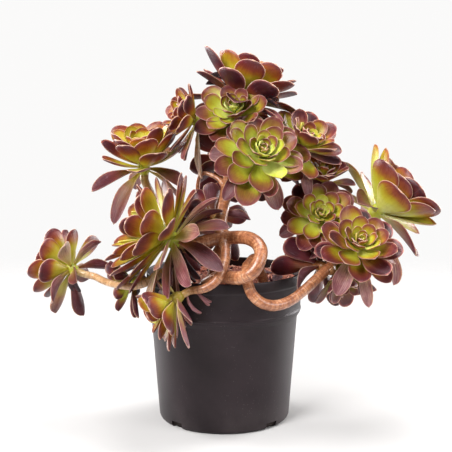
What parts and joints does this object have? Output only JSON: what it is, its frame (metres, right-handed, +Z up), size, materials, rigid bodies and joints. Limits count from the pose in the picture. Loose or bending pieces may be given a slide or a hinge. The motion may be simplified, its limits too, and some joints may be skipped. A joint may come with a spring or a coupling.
{
  "type": "potted tree aeonium",
  "caption": "Branching rosette succulent with long looping bare stems and fleshy green-to-maroon leaf rosettes, planted in a round black nursery pot with soil.",
  "frame": {"origin": "middle of the pot's flat bottom, on the surface that it stands on", "axes": "+Z up along the pot's axis, -Y towards the front as pictured, +X to the right"},
  "size_m": [0.4953, 0.2645, 0.4531],
  "materials": {
    "black_plastic": "dark charcoal moulded plastic, soft sheen, light scuffs",
    "soil_mix": "coarse reddish-brown potting mix, matt",
    "copper_bark": "smooth copper-brown stem skin with fine leaf-scar rings, satin",
    "tan_bark": "smooth tan stem skin with fine leaf-scar rings, satin",
    "leaf_green_maroon": "fleshy leaf skin, yellow-green heart to maroon tip, pale margin, soft sheen",
    "leaf_olive": "fleshy olive to yellow-green leaf skin with brown spots, soft sheen",
    "leaf_maroon": "dark maroon leaf skin with a mauve bloom, soft sheen",
    "dry_leaf": "dried dusky purple leaf, matt"
  },
  "bodies": {
    "root": {"pot": "black_plastic", "soil": "soil_mix", "stem_main": "copper_bark", "stem_right": "copper_bark", "stem_left_low": "tan_bark", "stem_left_tall": "tan_bark", "rosette_crown_front": "leaf_green_maroon", "rosette_big_left": "leaf_green_maroon", "rosette_low_right": "leaf_green_maroon", "rosette_mid_right": "leaf_green_maroon", "rosette_outer_right": "leaf_green_maroon", "rosette_top_left": "leaf_green_maroon", "rosette_crown_back": "leaf_green_maroon", "rosette_crown_left": "leaf_green_maroon", "rosette_crown_side": "leaf_green_maroon", "rosette_crown_right": "leaf_green_maroon", "rosette_far_left": "leaf_green_maroon", "rosette_small_right": "leaf_green_maroon", "rosette_small_left": "leaf_green_maroon", "rosette_hanging_left": "leaf_olive", "rosette_hanging_right": "leaf_olive", "rosette_back_shoot": "leaf_maroon", "rosette_crown_rear": "leaf_maroon", "rosette_dark_right": "leaf_maroon", "fallen_leaf_1": "dry_leaf", "fallen_leaf_2": "dry_leaf", "fallen_leaf_3": "dry_leaf", "fallen_leaf_4": "dry_leaf"}
  },
  "joints": []
}
